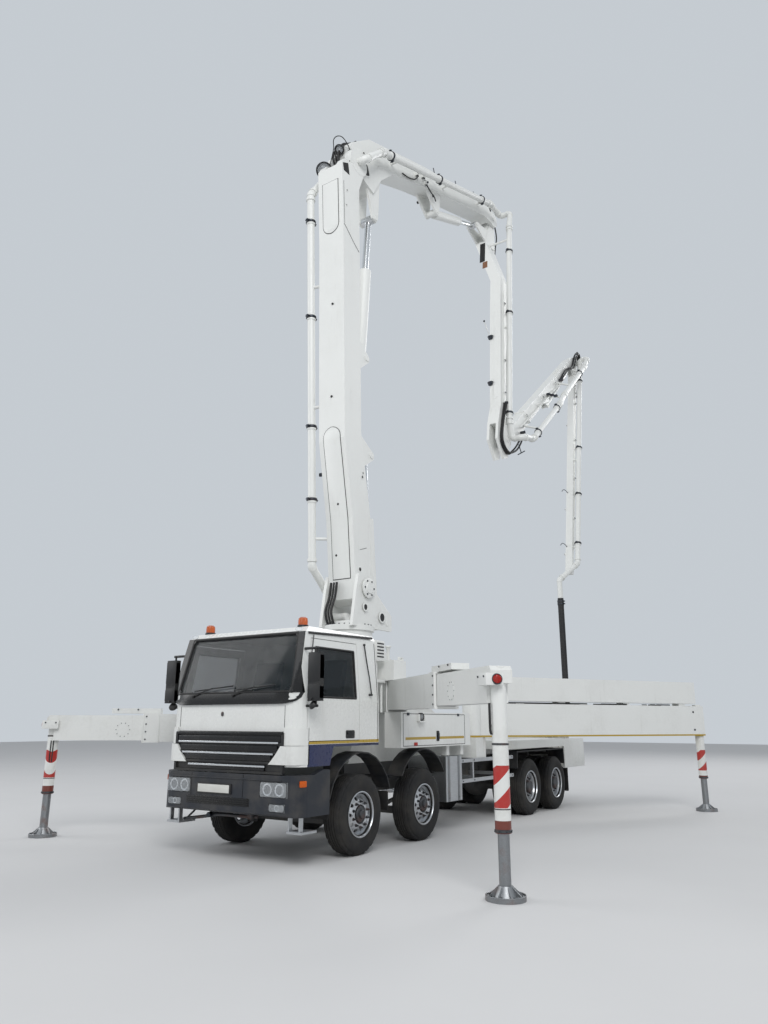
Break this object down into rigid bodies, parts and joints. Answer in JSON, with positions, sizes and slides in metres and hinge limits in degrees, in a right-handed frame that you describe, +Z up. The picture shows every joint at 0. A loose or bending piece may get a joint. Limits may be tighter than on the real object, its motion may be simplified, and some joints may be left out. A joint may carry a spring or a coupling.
{
  "type": "truck-mounted concrete pump with a folding boom",
  "caption": "Four-axle truck with a folding concrete boom raised over it, four outrigger legs set out, a rear hopper and a hanging end hose.",
  "frame": {"origin": "on the ground, under the middle of the whole machine's box in plan", "axes": "+Z up, -Y forward, +X to the truck's left"},
  "size_m": [8.42, 14.1793, 15.2338],
  "materials": {
    "white_paint": "semi-gloss off-white paint, weathered",
    "chassis_paint": "satin dark grey chassis paint",
    "black_plastic": "grained dark plastic",
    "glass": "tinted glass",
    "chrome_rod": "ground and polished",
    "steel": "worn bare steel",
    "aluminium": "brushed",
    "tyre": "worn tread, polished rim",
    "hose_rubber": "matt black",
    "lamp_lens": "clear and coloured lenses"
  },
  "bodies": {
    "root": {"chassis_frame": "chassis_paint", "axles": "chassis_paint", "engine_block": "chassis_paint", "cab_shell": "white_paint", "cab_glass": "glass", "cab_interior": "black_plastic", "front_bumper": "black_plastic", "cab_trim": "black_plastic", "lamps": "lamp_lens", "wheel_arches": "black_plastic", "body_boxes": "white_paint", "pedestal": "white_paint", "tanks_and_guards": "aluminium", "hopper": "white_paint", "pump_unit": "steel"},
    "door_left": {"door_left": "white_paint", "door_glass_left": "glass"},
    "door_right": {"door_right": "white_paint", "door_glass_right": "glass"},
    "knuckle_1_left": {"knuckle_1_left": "chassis_paint"},
    "knuckle_1_right": {"knuckle_1_right": "chassis_paint"},
    "knuckle_2_left": {"knuckle_2_left": "chassis_paint"},
    "knuckle_2_right": {"knuckle_2_right": "chassis_paint"},
    "wheel_1_left": {"wheel_1_left": "tyre"},
    "wheel_1_right": {"wheel_1_right": "tyre"},
    "wheel_2_left": {"wheel_2_left": "tyre"},
    "wheel_2_right": {"wheel_2_right": "tyre"},
    "wheel_3_left": {"wheel_3_left": "tyre"},
    "wheel_3_right": {"wheel_3_right": "tyre"},
    "wheel_4_left": {"wheel_4_left": "tyre"},
    "wheel_4_right": {"wheel_4_right": "tyre"},
    "turret": {"turret": "white_paint"},
    "arm_1": {"arm_1": "white_paint"},
    "arm_2": {"arm_2": "white_paint"},
    "arm_3": {"arm_3": "white_paint"},
    "arm_4": {"arm_4": "white_paint"},
    "arm_5": {"arm_5": "white_paint", "end_hose": "hose_rubber"},
    "barrel_1": {"barrel_1": "white_paint"},
    "rod_1": {"rod_1": "chrome_rod"},
    "barrel_2": {"barrel_2": "white_paint"},
    "rod_2": {"rod_2": "chrome_rod"},
    "barrel_3": {"barrel_3": "white_paint"},
    "rod_3": {"rod_3": "chrome_rod"},
    "barrel_4": {"barrel_4": "white_paint"},
    "rod_4": {"rod_4": "chrome_rod"},
    "barrel_5": {"barrel_5": "white_paint"},
    "rod_5": {"rod_5": "chrome_rod"},
    "front_beam_left": {"front_beam_left": "white_paint"},
    "front_leg_left": {"front_leg_left": "white_paint"},
    "front_foot_left": {"front_foot_left": "steel"},
    "rear_beam_left": {"rear_beam_left": "white_paint"},
    "rear_foot_left": {"rear_foot_left": "steel"},
    "front_beam_right": {"front_beam_right": "white_paint"},
    "front_leg_right": {"front_leg_right": "white_paint"},
    "front_foot_right": {"front_foot_right": "steel"},
    "rear_beam_right": {"rear_beam_right": "white_paint"},
    "rear_foot_right": {"rear_foot_right": "steel"},
    "hopper_grate": {"hopper_grate": "steel"},
    "agitator": {"agitator": "steel"}
  },
  "joints": [
    {"name": "door_left_hinge", "type": "hinge", "parent": "root", "child": "door_left", "pos_m": [1.2, -6.741, 2.2], "axis": [0, 0, -1], "range_deg": [0, 65]},
    {"name": "door_right_hinge", "type": "hinge", "parent": "root", "child": "door_right", "pos_m": [-1.2, -6.741, 2.2], "axis": [0, 0, 1], "range_deg": [0, 65]},
    {"name": "steer_1_left", "type": "hinge", "parent": "root", "child": "knuckle_1_left", "pos_m": [0.8, -5.535, 0.53], "axis": [0, 0, 1], "range_deg": [-35, 35]},
    {"name": "steer_1_right", "type": "hinge", "parent": "root", "child": "knuckle_1_right", "pos_m": [-0.8, -5.535, 0.53], "axis": [0, 0, 1], "range_deg": [-35, 35]},
    {"name": "steer_2_left", "type": "hinge", "parent": "root", "child": "knuckle_2_left", "pos_m": [0.8, -3.835, 0.53], "axis": [0, 0, 1], "range_deg": [-22.8, 22.8]},
    {"name": "steer_2_right", "type": "hinge", "parent": "root", "child": "knuckle_2_right", "pos_m": [-0.8, -3.835, 0.53], "axis": [0, 0, 1], "range_deg": [-22.8, 22.8]},
    {"name": "wheel_1_left_spin", "type": "hinge", "parent": "knuckle_1_left", "child": "wheel_1_left", "pos_m": [1.07, -5.535, 0.53], "axis": [1, 0, 0], "continuous": true},
    {"name": "wheel_1_right_spin", "type": "hinge", "parent": "knuckle_1_right", "child": "wheel_1_right", "pos_m": [-1.07, -5.535, 0.53], "axis": [1, 0, 0], "continuous": true},
    {"name": "wheel_2_left_spin", "type": "hinge", "parent": "knuckle_2_left", "child": "wheel_2_left", "pos_m": [1.07, -3.835, 0.53], "axis": [1, 0, 0], "continuous": true},
    {"name": "wheel_2_right_spin", "type": "hinge", "parent": "knuckle_2_right", "child": "wheel_2_right", "pos_m": [-1.07, -3.835, 0.53], "axis": [1, 0, 0], "continuous": true},
    {"name": "wheel_3_left_spin", "type": "hinge", "parent": "root", "child": "wheel_3_left", "pos_m": [0.918, 0.305, 0.53], "axis": [1, 0, 0], "continuous": true},
    {"name": "wheel_3_right_spin", "type": "hinge", "parent": "root", "child": "wheel_3_right", "pos_m": [-0.918, 0.305, 0.53], "axis": [1, 0, 0], "continuous": true},
    {"name": "wheel_4_left_spin", "type": "hinge", "parent": "root", "child": "wheel_4_left", "pos_m": [0.918, 1.655, 0.53], "axis": [1, 0, 0], "continuous": true},
    {"name": "wheel_4_right_spin", "type": "hinge", "parent": "root", "child": "wheel_4_right", "pos_m": [-0.918, 1.655, 0.53], "axis": [1, 0, 0], "continuous": true},
    {"name": "slew", "type": "hinge", "parent": "root", "child": "turret", "pos_m": [0, -4.235, 3.23], "axis": [0, 0, 1], "range_deg": [-185, 185]},
    {"name": "arm_1_pivot", "type": "hinge", "parent": "turret", "child": "arm_1", "pos_m": [0, -4.215, 3.95], "axis": [-1, 0, 0], "range_deg": [0, 45]},
    {"name": "arm_2_pivot", "type": "hinge", "parent": "arm_1", "child": "arm_2", "pos_m": [0, -4.50885, 12.3649], "axis": [1, 0, 0], "range_deg": [-20, 69]},
    {"name": "arm_3_pivot", "type": "hinge", "parent": "arm_2", "child": "arm_3", "pos_m": [0, 1.86592, 15.0054], "axis": [1, 0, 0], "range_deg": [-10, 75]},
    {"name": "arm_4_pivot", "type": "hinge", "parent": "arm_3", "child": "arm_4", "pos_m": [0.45, 1.32938, 8.33694], "axis": [-1, 0, 0], "range_deg": [-5, 75]},
    {"name": "arm_5_pivot", "type": "hinge", "parent": "arm_4", "child": "arm_5", "pos_m": [0.45, 6.9093, 12.7595], "axis": [1, 0, 0], "range_deg": [-2, 100], "deforming": ["end_hose"]},
    {"name": "barrel_1_pivot", "type": "hinge", "parent": "turret", "child": "barrel_1", "pos_m": [0, -3.585, 3.42], "axis": [1, 0, 0], "range_deg": [-39.45, 1]},
    {"name": "rod_1_slide", "type": "slide", "parent": "barrel_1", "child": "rod_1", "axis": [0, -0.094, 0.9956], "range_m": [-0.5504, 0.005]},
    {"name": "barrel_2_pivot", "type": "hinge", "parent": "arm_1", "child": "barrel_2", "pos_m": [0, -4.03376, 8.35901], "axis": [1, 0, 0], "range_deg": [-6.02, 2.46]},
    {"name": "rod_2_slide", "type": "slide", "parent": "barrel_2", "child": "rod_2", "axis": [0, 0.0826, 0.9966], "range_m": [-0.3504, 1.1966]},
    {"name": "barrel_3_pivot", "type": "hinge", "parent": "arm_2", "child": "barrel_3", "pos_m": [0, -1.14899, 13.3994], "axis": [1, 0, 0], "range_deg": [-19.87, 3.52]},
    {"name": "rod_3_slide", "type": "slide", "parent": "barrel_3", "child": "rod_3", "axis": [0, 0.912, 0.4103], "range_m": [-0.135, 0.9797]},
    {"name": "barrel_4_pivot", "type": "hinge", "parent": "arm_3", "child": "barrel_4", "pos_m": [0.45, 1.84438, 11.4958], "axis": [1, 0, 0], "range_deg": [-1.81, 13.19]},
    {"name": "rod_4_slide", "type": "slide", "parent": "barrel_4", "child": "rod_4", "axis": [0, -0.1177, -0.993], "range_m": [-0.0439, 0.5882]},
    {"name": "barrel_5_pivot", "type": "hinge", "parent": "arm_4", "child": "barrel_5", "pos_m": [0.45, 4.33702, 10.338], "axis": [1, 0, 0], "range_deg": [-12.44, 1.23]},
    {"name": "rod_5_slide", "type": "slide", "parent": "barrel_5", "child": "rod_5", "axis": [0, 0.7343, 0.6788], "range_m": [-0.0177, 0.6405]},
    {"name": "front_beam_left_slide", "type": "slide", "parent": "root", "child": "front_beam_left", "axis": [0.7629, -0.6465, 0], "range_m": [-1.75, 0]},
    {"name": "front_leg_left_slide", "type": "slide", "parent": "front_beam_left", "child": "front_leg_left", "axis": [0.7629, -0.6465, 0], "range_m": [-1.5, 0]},
    {"name": "front_foot_left_jack", "type": "slide", "parent": "front_leg_left", "child": "front_foot_left", "axis": [0, 0, 1], "range_m": [0, 0.4]},
    {"name": "rear_beam_left_swing", "type": "hinge", "parent": "root", "child": "rear_beam_left", "pos_m": [1, -1.735, 1.8], "axis": [0, 0, 1], "range_deg": [0, 30]},
    {"name": "rear_foot_left_jack", "type": "slide", "parent": "rear_beam_left", "child": "rear_foot_left", "axis": [0, 0, 1], "range_m": [0, 0.4]},
    {"name": "front_beam_right_slide", "type": "slide", "parent": "root", "child": "front_beam_right", "axis": [-0.7629, -0.6465, 0], "range_m": [-1.45, 0]},
    {"name": "front_leg_right_slide", "type": "slide", "parent": "front_beam_right", "child": "front_leg_right", "axis": [-0.7629, -0.6465, 0], "range_m": [-1.3, 0]},
    {"name": "front_foot_right_jack", "type": "slide", "parent": "front_leg_right", "child": "front_foot_right", "axis": [0, 0, 1], "range_m": [0, 0.4]},
    {"name": "rear_beam_right_swing", "type": "hinge", "parent": "root", "child": "rear_beam_right", "pos_m": [-1, -1.735, 1.8], "axis": [0, 0, -1], "range_deg": [0, 30]},
    {"name": "rear_foot_right_jack", "type": "slide", "parent": "rear_beam_right", "child": "rear_foot_right", "axis": [0, 0, 1], "range_m": [0, 0.4]},
    {"name": "grate_hinge", "type": "hinge", "parent": "root", "child": "hopper_grate", "pos_m": [0, 2.225, 1.518], "axis": [1, 0, 0], "range_deg": [0, 80]},
    {"name": "agitator_spin", "type": "hinge", "parent": "root", "child": "agitator", "pos_m": [0, 2.865, 1], "axis": [1, 0, 0], "continuous": true}
  ],
  "couplings": [
    {"joint": "steer_1_right", "follows": "steer_1_left", "ratio": 1},
    {"joint": "steer_2_left", "follows": "steer_1_left", "ratio": 0.65},
    {"joint": "steer_2_right", "follows": "steer_1_left", "ratio": 0.65},
    {"joint": "barrel_1_pivot", "follows": "arm_1_pivot", "ratio": -0.85454},
    {"joint": "rod_1_slide", "follows": "arm_1_pivot", "m_per_rad": -0.69447},
    {"joint": "barrel_2_pivot", "follows": "arm_2_pivot", "ratio": -0.07275},
    {"joint": "rod_2_slide", "follows": "arm_2_pivot", "m_per_rad": 0.98945},
    {"joint": "barrel_3_pivot", "follows": "arm_3_pivot", "ratio": -0.25163},
    {"joint": "rod_3_slide", "follows": "arm_3_pivot", "m_per_rad": 0.74462},
    {"joint": "barrel_4_pivot", "follows": "arm_4_pivot", "ratio": 0.16254},
    {"joint": "rod_4_slide", "follows": "arm_4_pivot", "m_per_rad": 0.44554},
    {"joint": "barrel_5_pivot", "follows": "arm_5_pivot", "ratio": -0.11439},
    {"joint": "rod_5_slide", "follows": "arm_5_pivot", "m_per_rad": 0.3641}
  ]
}
